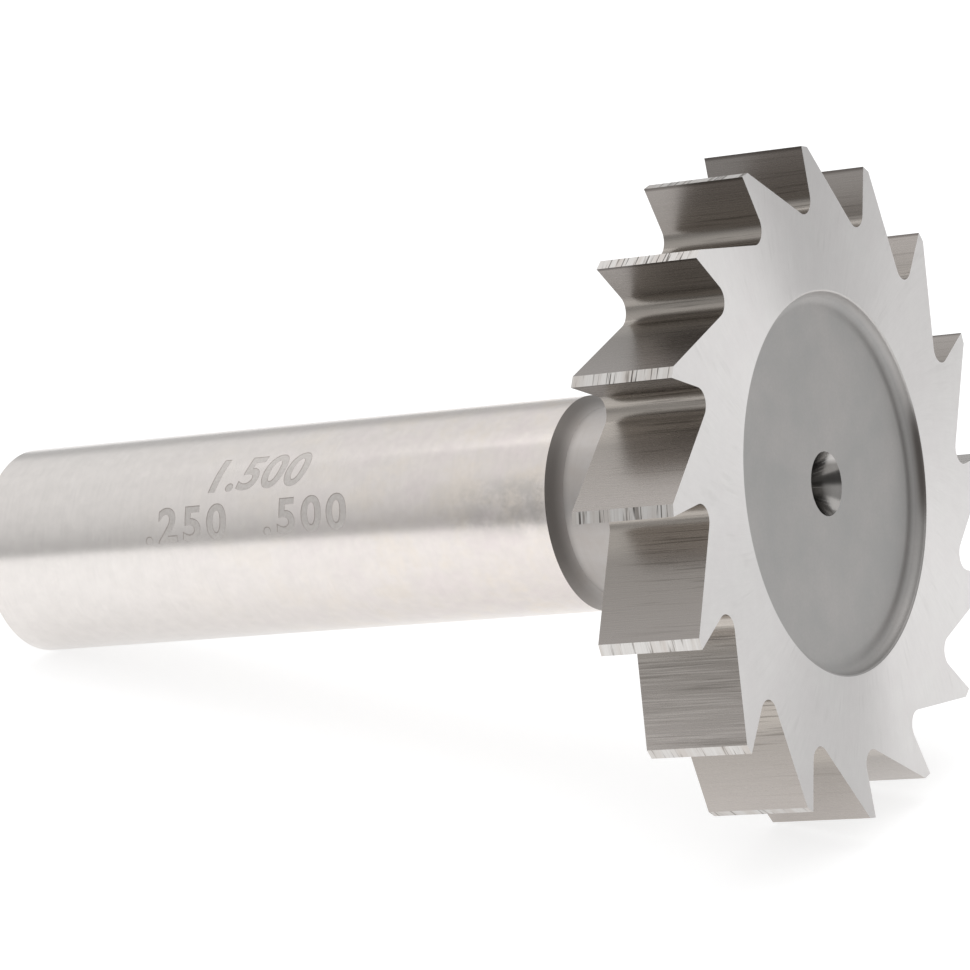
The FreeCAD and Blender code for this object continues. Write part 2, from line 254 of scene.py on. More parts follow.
print(f"centre holes: cone {CONE_DEPTH / mm:.2f} mm deep, drill point {POINT_DEPTH / mm:.2f} mm")

# %% [markdown]
# The rings start at the bottom of the front centre hole and run out over the front of the head.
# There a shallow recess was turned, with a rounded corner. The ring of steel outside it is ground
# slightly hollow, as on the real tool, so that only its outer edge rubs in the cut.

# %% Front of the head
RIM_ROUND = 0.10 * mm
WEB_RADIUS = 14.7 * mm
FRONT_RADII = (RECESS_RADIUS + RIM_ROUND + 0.03 * mm, 11.6 * mm, 13.1 * mm)

# The circles of the recess's round keep this many degrees away from its two ends.
CORNER_MARGIN = 9


def side_height(radius, edge_height, sign):
    """Height of a hollow ground side at this radius: sign is -1 in front and 1 behind."""
    return edge_height + sign * SIDE_HOLLOW * (1 - radius / HEAD_RADIUS)


add_centre_hole(-RECESS_DEPTH, -1, True)
floor_edge = RECESS_RADIUS - RECESS_CORNER
for share in (0.35, 0.7, 1.0):
    add_circle(CENTRE_RADIUS + (floor_edge - CENTRE_RADIUS) * share, -RECESS_DEPTH, "recess")
corner = (floor_edge, -RECESS_DEPTH + RECESS_CORNER)
add_round(corner, RECESS_CORNER, 270 + CORNER_MARGIN, 360 - CORNER_MARGIN, 9, "recess")
rim_height = side_height(RECESS_RADIUS, 0, -1)
add_round((RECESS_RADIUS + RIM_ROUND, rim_height - RIM_ROUND), RIM_ROUND, 170, 90, 4, "rim")
for radius in FRONT_RADII:
    add_circle(radius, side_height(radius, 0, -1), "side")
add_circle(WEB_RADIUS, side_height(WEB_RADIUS, 0, -1), "side", WEB_ANGLES)
print(len(rings), "rings up to the web")

# %% [markdown]
# The rings go on down the teeth, in over the back of the head, and round the fillet into the neck.
# A 45 degree step leads up to the shank, so it is as long as it is high. The shank is plain, but it
# gets many rings, because long thin faces would shade unevenly. The last rings are the chamfer, the
# ground end and the rear centre hole.

# %% Teeth, back, neck and shank
BACK_RADII = (12.5 * mm, 10 * mm, 8 * mm)
NECK_HEIGHTS = (-9.5 * mm, -12.5 * mm, SHANK_FRONT + STEP_HEIGHT)
SHANK_RINGS = 24

toothed_ring(lambda radius: side_height(radius, 0, -1), "side")
for share in (0.25, 0.5, 0.75):
    toothed_ring(lambda radius: -FACE_WIDTH * share, "teeth")
toothed_ring(lambda radius: side_height(radius, -FACE_WIDTH, 1), "teeth")
add_circle(WEB_RADIUS, side_height(WEB_RADIUS, -FACE_WIDTH, 1), "side", WEB_ANGLES)
for radius in BACK_RADII:
    add_circle(radius, side_height(radius, -FACE_WIDTH, 1), "side")
neck_top = side_height(NECK_RADIUS + NECK_FILLET, -FACE_WIDTH, 1)
add_round((NECK_RADIUS + NECK_FILLET, neck_top - NECK_FILLET), NECK_FILLET, 90, 180, 8, "neck")
for height in NECK_HEIGHTS:
    add_circle(NECK_RADIUS, height, "neck")
add_circle(SHANK_RADIUS, SHANK_FRONT, "step")
for number in range(1, SHANK_RINGS + 1):
    add_circle(SHANK_RADIUS, SHANK_FRONT - SHANK_LENGTH * number / SHANK_RINGS, "shank")
add_circle(SHANK_RADIUS - END_CHAMFER, TOOL_END, "chamfer")
add_circle((SHANK_RADIUS + CENTRE_RADIUS) / 2, TOOL_END, "shank_end")
add_centre_hole(TOOL_END, 1, False)
print(len(rings), "rings make", len(rings) * POINTS, "points")

# %% [markdown]
# Bridging the rings gives a closed skin of quads, with a tiny lid at the bottom of each pilot hole.
# Along the teeth the zone also depends on the place in the outline: cutting face, gullet, back or
# ground land. A face's material number is set from its zone as it is made.

# %% Bridge the rings into one closed skin
MATERIAL_OF = {
    "side": 0, "shank_end": 0, "face": 1, "gullet": 1, "back": 1, "recess": 2, "rim": 2,
    "land": 3, "shank": 4, "chamfer": 4, "neck": 5, "step": 5, "centre": 6,
}


def zone_of(strip, place):
    """The zone of one quad: its strip's, or on the teeth the part of the tooth it lies on."""
    if zones[strip] != "teeth":
        return zones[strip]
    place %= TOOTH_STEPS
    if place < FACE_STEPS:
        return "face"
    if place < FACE_STEPS + GULLET_STEPS:
        return "gullet"
    if place < FACE_STEPS + GULLET_STEPS + BACK_STEPS:
        return "back"
    return "land"


def make_skin(name):
    """A mesh object of all the rings, closed at both ends."""
    skin = bmesh.new()
    loops = [[skin.verts.new(point) for point in ring] for ring in rings]
    for strip in range(1, len(loops)):
        for place in range(POINTS):
            following = (place + 1) % POINTS
            corners = (loops[strip - 1][place], loops[strip][place],
                       loops[strip][following], loops[strip - 1][following])
            quad = skin.faces.new(corners)
            quad.material_index = MATERIAL_OF[zone_of(strip, place)]
    first_lid = skin.faces.new(loops[0])
    last_lid = skin.faces.new(reversed(loops[-1]))
    for lid in (first_lid, last_lid):
        lid.material_index = MATERIAL_OF["centre"]
    bmesh.ops.recalc_face_normals(skin, faces=skin.faces)
    mesh = bpy.data.meshes.new(name)
    skin.to_mesh(mesh)
    skin.free()
    mesh.transform(LIE)
    made = bpy.data.objects.new(name, mesh)
    bpy.context.scene.collection.objects.link(made)
    return made


cutter = make_skin("cutter")
print(len(cutter.data.polygons), "faces in the skin")

# %% [markdown]
# No real edge is perfectly sharp. A bevel of a few hundredths of a millimetre, only where faces
# meet at more than 30 degrees, gives each edge the thin bright line that tells the eye it is metal.
# Smooth shading would bend the light near those bevels on the flat sides as well. The Weighted
# Normal modifier lets the large faces decide, so flat stays flat and the shank stays round.

# %% Break the edges by a hair
EDGE_BREAK = 0.035 * mm
SHARP = math.radians(30)

cutter.data.shade_smooth()
cutter.data.set_sharp_from_angle(angle=SHARP)
broken = cutter.modifiers.new("edge_break", "BEVEL")
broken.width = EDGE_BREAK
broken.segments = 2
broken.limit_method = "ANGLE"
broken.angle_limit = SHARP
broken.material = -1
flat_sides = cutter.modifiers.new("flat_sides", "WEIGHTED_NORMAL")
flat_sides.mode = "FACE_AREA_WITH_ANGLE"
flat_sides.weight = 100
flat_sides.keep_sharp = True
print("edges broken by", EDGE_BREAK / mm, "mm")

# %% [markdown]
# Steel gets its look from the marks of its last tool, and here shader nodes work those marks out.
# A picture wrapped round the tool would be stretched on the teeth. Nodes take many lines to add one
# by one, so small helpers do it: any node, a sum, a product, and a fade from one value to another.

# %% Helpers for nodes and numbers
def add_node(tree, kind, inputs=None, **settings):
    """A node with its settings, whose inputs are given values or linked to other sockets."""
    made = tree.nodes.new(kind)
    for name, value in settings.items():
        setattr(made, name, value)
    for name, value in (inputs or {}).items():
        if isinstance(value, bpy.types.NodeSocket):
            tree.links.new(value, made.inputs[name])
        else:
            made.inputs[name].default_value = value
    return made


def calculate(tree, operation, *values):
    """The result of one Math node."""
    made = add_node(tree, "ShaderNodeMath", dict(enumerate(values)), operation=operation)
    return made.outputs[0]


def times(tree, first, *others):
    """The product of all the values."""
    product = first
    for value in others:
        product = calculate(tree, "MULTIPLY", product, value)
    return product


def fade(tree, value, start, end, low=0.0, high=1.0, soft=False):
    """Goes from low to high while the value goes from start to end, and is level beyond them."""
    made = add_node(tree, "ShaderNodeMapRange", {
        "Value": value, "From Min": start, "From Max": end, "To Min": low, "To Max": high},
        interpolation_type="SMOOTHSTEP" if soft else "LINEAR")
    return made.outputs[0]


print("helpers for numbers ready")

# %% [markdown]
# Each finish starts from coordinates that follow the tool: how far out from the axis, how far along
# it, and which way round. A Mapping node with the matrix that stands the tool up again gives them.
# A pattern stretched round the axis looks turned or ground, and one stretched along the axis looks
# milled. Some marks depend on how the tool lies instead, so the height above the floor is of use.

# %% Helpers for places on the tool
def tool_coordinates(tree):
    """Sockets for the place in the tool's frame, in millimetres, and spin in radians."""
    place = add_node(tree, "ShaderNodeTexCoord").outputs["Object"]
    point = add_node(tree, "ShaderNodeMapping", {
        "Vector": place, "Location": STAND_UP.translation / mm,
        "Rotation": STAND_UP.to_euler(), "Scale": (1 / mm,) * 3})
    split = add_node(tree, "ShaderNodeSeparateXYZ", {0: point.outputs[0]}).outputs
    squares = [calculate(tree, "POWER", split[number], 2.0) for number in (0, 1)]
    out = calculate(tree, "SQRT", calculate(tree, "ADD", *squares))
    spin = calculate(tree, "ARCTAN2", split[1], split[0])
    return {"point": point.outputs[0], "x": split[0], "y": split[1],
            "along": split[2], "out": out, "spin": spin}


def lift_above_floor(tree):
    """How high the place lies above the floor, in metres."""
    place = add_node(tree, "ShaderNodeTexCoord").outputs["Object"]
    return add_node(tree, "ShaderNodeSeparateXYZ", {0: place}).outputs[2]


def stretch(tree, sockets, factors):
    """A vector of three sockets times factors: a small factor draws a pattern out long."""
    parts = [times(tree, *pair) for pair in zip(sockets, factors)]
    return add_node(tree, "ShaderNodeCombineXYZ", dict(enumerate(parts))).outputs[0]


print("helpers for places ready")

# %% [markdown]
# Noise gives the scratches, clouds and nicks. A colour ramp picks how much of the noise shows, and
# a Mix node lays one colour over another. The colour of a metal is the colour of what it sends
# back, so all of these are greys with a little brown in them.

# %% Helpers for patterns and colours
def noise(tree, vector, scale, detail=3.0, roughness=0.6):
    """A noise pattern between 0 and 1."""
    settings = {"Vector": vector, "Scale": scale, "Detail": detail, "Roughness": roughness}
    return add_node(tree, "ShaderNodeTexNoise", settings).outputs["Fac"]


def ramp(tree, value, stops):
    """A colour ramp: stops are (position, grey or colour)."""
    made = add_node(tree, "ShaderNodeValToRGB", {"Fac": value})
    points = made.color_ramp.elements
    while len(points) < len(stops):
        points.new(0.5)
    for point, (position, colour) in zip(points, stops):
        point.position = position
        point.color = (colour,) * 3 + (1,) if isinstance(colour, float) else (*colour, 1)
    return made.outputs["Color"]


def blend(tree, factor, first, second, blend_type="MIX"):
    """The first colour with the second laid over it, as much as the factor says."""
    made = add_node(tree, "ShaderNodeMix", data_type="RGBA", blend_type=blend_type)
    for socket, value in zip((made.inputs[0], made.inputs[6], made.inputs[7]),
                             (factor, first, second)):
        if isinstance(value, bpy.types.NodeSocket):
            tree.links.new(value, socket)
        elif isinstance(value, tuple):
            socket.default_value = (*value, 1)
        else:
            socket.default_value = value
    return made.outputs[2]


def toned(tree, colour, amount):
    """The colour times a grey amount: darker below 1 and lighter above it."""
    return blend(tree, 1.0, colour, amount, "MULTIPLY")


print("helpers for colours ready")

# %% [markdown]
# All the finishes are one metal with a different shine. Scratches that run one way spread a
# highlight across themselves, which Blender calls anisotropy. The Tangent socket says which way
# they lie, and here it is worked out from the tool's own axis, so it holds for each of its sides.

# %% Helpers for steel
def steel(name, roughness, anisotropic=0.0):
    """A new metal material: returns it with its node tree and its shader."""
    made = bpy.data.materials.new(name)
    made.use_nodes = True
    tree = made.node_tree
    shader = tree.nodes["Principled BSDF"]
    shader.inputs["Metallic"].default_value = 1.0
    shader.inputs["Roughness"].default_value = roughness
    shader.inputs["Anisotropic"].default_value = anisotropic
    return made, tree, shader


def spread_round(tree, shader):
    """Draw highlights out round the tool's axis, as scratches do that run straight out from it."""
    place = add_node(tree, "ShaderNodeTexCoord").outputs["Object"]
    arm = add_node(tree, "ShaderNodeVectorMath", {0: place, 1: tool_origin}, operation="SUBTRACT")
    round_way = add_node(tree, "ShaderNodeVectorMath", {0: axis, 1: arm.outputs[0]},
                         operation="CROSS_PRODUCT")
    unit = add_node(tree, "ShaderNodeVectorMath", {0: round_way.outputs[0]}, operation="NORMALIZE")
    tree.links.new(unit.outputs[0], shader.inputs["Tangent"])


def spread_across(tree, shader):
    """The same with a quarter turn, for scratches that run round the axis."""
    spread_round(tree, shader)
    shader.inputs["Anisotropic Rotation"].default_value = 0.25


def raise_by(tree, shader, height, strength, distance=0.01 * mm):
    """Bump from a height pattern, distance in metres."""
    settings = {"Height": height, "Strength": strength, "Distance": distance}
    bump = add_node(tree, "ShaderNodeBump", settings)
    tree.links.new(bump.outputs[0], shader.inputs["Normal"])


print("helpers for steel ready")

# %% [markdown]
# The sides of the head are ground with the face of a wheel, so their scratches run out from the
# middle in very slight curves. An anisotropic shader spreads the light across those scratches. That
# alone draws the soft fan that a ground disc shows, and a little noise, fine round the axis and
# long on the way out, adds the single scratches. A coarser one adds scores, in patches only.

# %% Ground sides of the head
RAY_BEND = 0.02
GROUND_DARK = (0.700, 0.686, 0.676)
GROUND_LIGHT = (0.728, 0.714, 0.704)
GROUND_CLOUD = (0.70, 0.675, 0.672)
GROUND_SCORE = (0.63, 0.615, 0.605)


def ground_side():
    made, tree, shader = steel("ground_side", 0.32, 0.94)
    tool = tool_coordinates(tree)
    bent = calculate(tree, "MULTIPLY_ADD", tool["out"], RAY_BEND, tool["spin"])
    rays = [calculate(tree, "COSINE", bent), calculate(tree, "SINE", bent), tool["out"]]
    scratches = noise(tree, stretch(tree, rays, (70.0, 70.0, 0.5)), 1.0, 5.0, 0.7)
    colour = ramp(tree, scratches, [(0.30, GROUND_DARK), (0.62, GROUND_LIGHT)])
    clouds = ramp(tree, noise(tree, tool["point"], 0.30, 3.0), [(0.35, 0.0), (0.70, 0.6)])
    colour = blend(tree, clouds, colour, GROUND_CLOUD)
    mottled = ramp(tree, noise(tree, tool["point"], 0.9, 4.0, 0.65), [(0.35, 0.97), (0.65, 1.0)])
    colour = toned(tree, colour, mottled)

    coarse = noise(tree, stretch(tree, rays, (34.0, 34.0, 0.35)), 1.0, 3.0, 0.6)
    scored = ramp(tree, coarse, [(0.50, 0.0), (0.66, 1.0)])
    patch = ramp(tree, noise(tree, tool["point"], 0.45, 2.0), [(0.48, 0.0), (0.62, 0.55)])
    colour = blend(tree, times(tree, scored, patch), colour, GROUND_SCORE)
    tree.links.new(colour, shader.inputs["Base Color"])
    spread_round(tree, shader)
    raise_by(tree, shader, scratches, 0.06)
    return made


SIDE_FINISH = ground_side()
print("finish:", SIDE_FINISH.name)

# %% [markdown]
# The tooth spaces were cut by a milling cutter that ran along the axis, and hardening left them
# a brownish grey. Their lines run the length of the tooth, so the noise is squeezed across them
# and drawn out along the axis. A few deeper scores start at the front, where the cutter entered.
# The round at the bottom of the gullet is painted brightest, as a painted highlight, and the flats
# beside it are painted darker, as painted shade. The lowest teeth, which lie on the bench, are
# painted lighter, as painted light from the floor, and the highest ones darker, as painted shade.
# One space above them is scratched right across, down to bare steel. A thin dark line runs just
# below each cutting edge.

# %% Milled tooth spaces
GULLET_BOTTOM = (HEAD_RADIUS - GULLET_DEPTH) / mm
EDGE_OUT = HEAD_RADIUS / mm
# Greys by depth in the tooth space: the light round at the bottom is a painted highlight, and the
# darker flats just above it are painted shade.
SPACE_COLOURS_PAINTED_LIGHT_AND_SHADE = [(0.0, (0.43, 0.395, 0.36)), (0.12, (0.41, 0.378, 0.345)),
                 (0.24, (0.33, 0.304, 0.281)), (0.9, (0.39, 0.361, 0.34))]
SPACE_SCORE = (0.15, 0.135, 0.12)
BARE_STEEL = (0.60, 0.56, 0.53)
EDGE_LINE = (0.10, 0.088, 0.08)

# Tooth spaces are counted round from the tool's X axis. Minus numbers go the other way round.
WORN_SPACE = -3.0


def milled_space():
    made, tree, shader = steel("milled_space", 0.27)
    tool = tool_coordinates(tree)
    lift = lift_above_floor(tree)
    height = fade(tree, tool["out"], GULLET_BOTTOM, EDGE_OUT)
    drawn = stretch(tree, (tool["x"], tool["y"], tool["along"]), (1.0, 1.0, 0.02))
    lines = noise(tree, drawn, 14.0, 4.0, 0.7)
    lined = ramp(tree, lines, [(0.30, 0.96), (0.65, 1.0)])
    # The depth ramp paints a highlight in the gullet's round and shade on the flats above it.
    colour = toned(tree, ramp(tree, height, SPACE_COLOURS_PAINTED_LIGHT_AND_SHADE), lined)

    space = calculate(tree, "MULTIPLY_ADD", tool["spin"], 1 / math.radians(PITCH), 0.05)
    worn = calculate(tree, "COMPARE", calculate(tree, "FLOOR", space), WORN_SPACE, 0.5)
    worn = times(tree, worn, 0.67)
    bared = ramp(tree, noise(tree, drawn, 7.0, 2.0, 0.6), [(0.47, 0.0), (0.62, 0.5)])
    colour = blend(tree, times(tree, bared, worn), colour, BARE_STEEL)

    scored = ramp(tree, noise(tree, drawn, 6.0, 3.0, 0.65), [(0.545, 0.0), (0.65, 0.65)])
    front = fade(tree, tool["along"], -0.9 * FACE_WIDTH / mm, -0.4 * FACE_WIDTH / mm)
    deep = fade(tree, height, 0.35, 0.75, 1.0, 0.3)
    wide, far = [calculate(tree, "MAXIMUM", mask, worn) for mask in (front, deep)]
    above = fade(tree, lift, 3 * mm, 8 * mm)
    colour = blend(tree, times(tree, scored, wide, far, above), colour, SPACE_SCORE)

    # Painted light and shade by height: the lowest teeth are made lighter, standing in for light
    # from the floor, and the highest darker. Only the scraped space is real wear.
    painted_floor_light = fade(tree, lift, 3 * mm, 16 * mm, 1.35, 1.0)
    painted_upper_shade = fade(tree, lift, 24 * mm, 36 * mm, 1.0, 0.84)
    scraped = calculate(tree, "MULTIPLY_ADD", worn, 0.28, 1.0)
    colour = toned(tree, colour, times(tree, painted_floor_light, painted_upper_shade, scraped))

    near_edge = fade(tree, tool["out"], EDGE_OUT - 0.24, EDGE_OUT - 0.10, 0.0, 0.7)
    on_face = calculate(tree, "LESS_THAN", calculate(tree, "FRACT", space), 0.5)
    colour = blend(tree, times(tree, near_edge, on_face), colour, EDGE_LINE)
    tree.links.new(colour, shader.inputs["Base Color"])
    tree.links.new(ramp(tree, lines, [(0.3, 0.29), (0.7, 0.25)]), shader.inputs["Roughness"])
    raise_by(tree, shader, lines, 0.10)
    return made


SPACE_FINISH = milled_space()
print("finish:", SPACE_FINISH.name)

# %% [markdown]
# The recess was turned before hardening and never ground, so it is the dullest surface: mid grey,
# matte, with faint warm clouds and hardly any line. A rough metal without anisotropy is enough.
# Where the wall begins, a dark ring is painted on one side: painted shade in the corner. Up the
# wall, one side is painted darker as painted shade and another lighter as a painted highlight, and
# a dark crescent just under the rim is painted shade as well.

# %% Turned recess
# Where the painted shade and highlight sit: out from the axis in millimetres, or round it in
# degrees.
SHADE_RING_OUT = (RECESS_RADIUS - RECESS_CORNER) / mm - 0.02
SHADE_RING_TURN = 81
RIM_SHADE_TURN = 91
WALL_HIGHLIGHT_TURN = 156
WALL_SHADE_TURN = 55
RECESS_DARK = (0.435, 0.43, 0.423)
RECESS_LIGHT = (0.485, 0.47, 0.46)
RECESS_GRAIN = (0.39, 0.38, 0.373)
# Painted shade: the dark ring in the corner and the darker side of the wall.
RECESS_PAINTED_SHADE = (0.19, 0.175, 0.165)
# Painted highlight on one side of the upper wall.
RECESS_PAINTED_HIGHLIGHT = (0.66, 0.64, 0.625)
# Painted shade just under the rim.
PAINTED_RIM_SHADE = (0.09, 0.075, 0.065)


def on_side(tree, tool, turn, start, end):
    """0 to 1 between two distances from the axis, measured toward one side of the tool."""
    side = polar(1, turn)
    toward = calculate(tree, "ADD", times(tree, tool["x"], side.x), times(tree, tool["y"], side.y))
    return fade(tree, toward, start, end, soft=True)


def turned_recess():
    made, tree, shader = steel("turned_recess", 0.56)
    tool = tool_coordinates(tree)
    cloud = noise(tree, tool["point"], 0.22, 3.0)
    grain = noise(tree, tool["point"], 6.0, 4.0)
    colour = ramp(tree, cloud, [(0.35, RECESS_DARK), (0.65, RECESS_LIGHT)])
    colour = blend(tree, ramp(tree, grain, [(0.35, 0.0), (0.65, 0.25)]), colour, RECESS_GRAIN)

    # Painted shade: a dark ring in the corner where the wall begins, on one side only.
    away = calculate(tree, "ABSOLUTE", calculate(tree, "SUBTRACT", tool["out"], SHADE_RING_OUT))
    ring = ramp(tree, away, [(0.0, 0.42), (0.15, 0.34), (0.42, 0.0)])
    ring = times(tree, ring, on_side(tree, tool, SHADE_RING_TURN, -2.2, 9.9))
    colour = blend(tree, ring, colour, RECESS_PAINTED_SHADE)

    # Along is 0 at the teeth's front and minus in the recess, so these fades run up its wall.
    # Painted highlight: one side of the upper wall is made lighter.
    painted_wall_highlight = fade(tree, tool["along"], -0.60, -0.25)
    painted_wall_highlight = times(tree, painted_wall_highlight, on_side(tree, tool, WALL_HIGHLIGHT_TURN, 0.0, 6.0))
    colour = blend(tree, painted_wall_highlight, colour, RECESS_PAINTED_HIGHLIGHT)
    # Painted shade: another side of the upper wall is made darker.
    painted_wall_shade = fade(tree, tool["along"], -0.78, -0.60, 0.0, 0.32)
    painted_wall_shade = times(tree, painted_wall_shade, on_side(tree, tool, WALL_SHADE_TURN, 3.0, 10.0))
    colour = blend(tree, painted_wall_shade, colour, RECESS_PAINTED_SHADE)
    # Painted shade: a dark crescent on the wall just under the rim, on one side.
    painted_rim_shade = fade(tree, tool["along"], -0.66, -0.30, 0.0, 0.75, soft=True)
    painted_rim_shade = times(tree, painted_rim_shade, on_side(tree, tool, RIM_SHADE_TURN, 10.2, 10.9))
    colour = blend(tree, painted_rim_shade, colour, PAINTED_RIM_SHADE)
    tree.links.new(colour, shader.inputs["Base Color"])
    raise_by(tree, shader, grain, 0.2)
    return made


RECESS_FINISH = turned_recess()
print("finish:", RECESS_FINISH.name)

# %% [markdown]
# The centre holes came from a drill with a polished cone, which left them brighter inside and
# almost like a mirror. They show the dark opening of the tent as one crisp bar. The lower side of
# the front one is painted darker, as painted shade inside the hole. The mouth is painted bright
# above and below that bar, most of all on the upper side, as a painted highlight.

# %% Centre holes
CENTRE_DARK = (0.21, 0.20, 0.19)
CENTRE_LIGHT = (0.25, 0.24, 0.23)
PILOT_EDGE = (0.52, 0.50, 0.48)
# Painted highlight round the mouth of the hole.
MOUTH_PAINTED_HIGHLIGHT = (0.56, 0.545, 0.53)


def drilled_centre():
    made, tree, shader = steel("drilled_centre", 0.20, 0.3)
    tool = tool_coordinates(tree)
    lift = lift_above_floor(tree)
    middle = tool_origin.z
    circles = stretch(tree, (tool["out"], tool["along"], 0.0), (1.0, 1.0, 0.0))
    lines = noise(tree, circles, 9.0, 3.0)
    colour = ramp(tree, lines, [(0.3, CENTRE_DARK), (0.7, CENTRE_LIGHT)])
    # Painted shade: the lower side of the hole is made darker.
    painted_hole_shade = fade(tree, lift, middle - 1.4 * mm, middle - 0.2 * mm, 0.5, 1.0)
    colour = toned(tree, colour, painted_hole_shade)

    pilot_out = PILOT_RADIUS / mm
    pilot = fade(tree, tool["out"], pilot_out + 0.10, pilot_out + 0.02, 0.0, 0.8)
    colour = blend(tree, pilot, colour, PILOT_EDGE)

    # Painted highlight: the mouth is made bright above and below the reflected bar, most on the
    # upper side.
    mouth_out = CENTRE_RADIUS / mm
    mouth = fade(tree, tool["out"], mouth_out - 0.60, mouth_out - 0.25, 0.0, 0.9)
    off_middle = calculate(tree, "ABSOLUTE", calculate(tree, "SUBTRACT", lift, middle))
    highlight_beside_bar = fade(tree, off_middle, 0.45 * mm, 0.85 * mm)
    upper = fade(tree, lift, middle - 0.3 * mm, middle + 0.3 * mm, 0.28, 1.0)
    colour = blend(tree, times(tree, mouth, highlight_beside_bar, upper), colour, MOUTH_PAINTED_HIGHLIGHT)
    tree.links.new(colour, shader.inputs["Base Color"])
    spread_across(tree, shader)
    raise_by(tree, shader, lines, 0.1)
    return made


CENTRE_FINISH = drilled_centre()
print("finish:", CENTRE_FINISH.name)

# %% [markdown]
# The narrow lands behind the cutting edges are ground last and are the brightest steel on the tool.
# The wheel left short dark nicks across them, at uneven distances. A noise that changes mostly along
# the axis, and starts afresh on each tooth, gives bars across the land. The upper teeth also have a
# few thin cuts, nearly black.

# %% Ground lands with their nicks
LAND_DARK = (0.64, 0.62, 0.60)
LAND_LIGHT = (0.76, 0.74, 0.72)
LAND_STAIN = (0.58, 0.53, 0.49)
LAND_NICK = (0.20, 0.175, 0.155)
LAND_CUT = (0.09, 0.078, 0.07)


def ground_land():
    made, tree, shader = steel("ground_land", 0.34)
    tool = tool_coordinates(tree)
    tooth = calculate(tree, "DIVIDE", tool["spin"], math.radians(PITCH))
    tooth = calculate(tree, "FLOOR", calculate(tree, "ADD", tooth, -0.5))
    land = (tool["along"], tooth, tool["spin"])
    fine = noise(tree, stretch(tree, land, (14.0, 3.1, 5.0)), 1.0, 3.0)
    colour = ramp(tree, fine, [(0.3, LAND_DARK), (0.7, LAND_LIGHT)])

    bars = stretch(tree, land, (4.2, 7.3, 5.0))
    stain = ramp(tree, noise(tree, bars, 0.35, 2.0), [(0.45, 0.0), (0.65, 0.6)])
    colour = blend(tree, stain, colour, LAND_STAIN)
    nicks = ramp(tree, noise(tree, bars, 1.0, 2.5, 0.65), [(0.57, 0.0), (0.65, 0.75)])
    colour = blend(tree, nicks, colour, LAND_NICK)

    thin = noise(tree, stretch(tree, land, (6.5, 5.1, 5.0)), 1.0, 1.0, 0.5)
    cuts = ramp(tree, thin, [(0.625, 0.0), (0.665, 0.9)])
    above = fade(tree, lift_above_floor(tree), 17 * mm, 21 * mm)
    colour = blend(tree, times(tree, cuts, above), colour, LAND_CUT)
    tree.links.new(colour, shader.inputs["Base Color"])
    raise_by(tree, shader, times(tree, nicks, -1.0), 0.3, 0.02 * mm)
    return made


LAND_FINISH = ground_land()
print("finish:", LAND_FINISH.name)

# %% [markdown]
# The shank is ground between centres: very fine lines round it, a slightly warm satin, and near the
# step a breath of straw and pink from the heat of hardening. The tint is a soft noise that fades
# away along the axis. Beside the step, a narrow strip along one side has darker soft patches. The
# wheel also left faint waves, which make reflections waver.

# %% Ground shank
# Where the marks sit along the axis, in millimetres from the front of the teeth.
TINT_START = -18.0
TINT_END = -48.0
PATCHES_START = -18.0
PATCHES_END = -24.0
PATCHES_TURN = -95
SHANK_DARK = (0.785, 0.750, 0.725)
SHANK_LIGHT = (0.825, 0.788, 0.762)
HEAT_TINTS = [(0.35, (0.84, 0.745, 0.65)), (0.5, (0.815, 0.745, 0.705)), (0.65, (0.79, 0.70, 0.69))]
DARK_PATCH_GREY = (0.50, 0.48, 0.46)


def ground_shank():
    made, tree, shader = steel("ground_shank", 0.21, 0.30)
    tool = tool_coordinates(tree)
    rounds = [calculate(tree, "DIVIDE", tool[name], tool["out"]) for name in ("x", "y")]
    lines = noise(tree, stretch(tree, (*rounds, tool["along"]), (3.0, 3.0, 14.0)), 1.0, 5.0, 0.7)
    colour = ramp(tree, lines, [(0.3, SHANK_DARK), (0.7, SHANK_LIGHT)])
    tinted = ramp(tree, noise(tree, tool["point"], 0.35, 4.0, 0.65), HEAT_TINTS)
    warmed = fade(tree, tool["along"], TINT_END, TINT_START, 0.0, 0.55)
    colour = blend(tree, warmed, colour, tinted)
    blotch = ramp(tree, noise(tree, tool["point"], 1.1, 4.0, 0.7), [(0.35, 0.95), (0.65, 1.0)])
    colour = toned(tree, colour, blotch)

    # Darker soft patches in a narrow strip along one side, beside the step.
    dark_patches = ramp(tree, noise(tree, tool["point"], 0.8, 5.0, 0.7), [(0.38, 0.0), (0.58, 0.5)])
    near_step = fade(tree, tool["along"], PATCHES_END, PATCHES_START)
    dark_patches = times(tree, dark_patches, near_step, on_side(tree, tool, PATCHES_TURN, 6.0, 6.3))
    colour = blend(tree, dark_patches, colour, DARK_PATCH_GREY)
    tree.links.new(colour, shader.inputs["Base Color"])
    spread_across(tree, shader)
    waves = noise(tree, tool["point"], 0.9, 3.0)
    raise_by(tree, shader, calculate(tree, "MULTIPLY_ADD", waves, 7.0, lines), 0.05)
    return made


SHANK_FINISH = ground_shank()
print("finish:", SHANK_FINISH.name)

# %% [markdown]
# The neck is only turned: duller than the shank and a little brown. On the step that leads up to
# the shank some scale of hardening is left, which makes a darker ring round the tool. Low down the
# ring is painted lighter, as painted light from the floor below.

# %% Turned neck and its step
# A quarter of a millimetre before the step begins.
STEP_FRONT = (SHANK_FRONT + STEP_HEIGHT + 0.25 * mm) / mm
NECK_DARK = (0.47, 0.445, 0.43)
NECK_LIGHT = (0.51, 0.485, 0.47)
NECK_CLOUD = (0.44, 0.40, 0.37)
SCALE = (0.15, 0.138, 0.128)


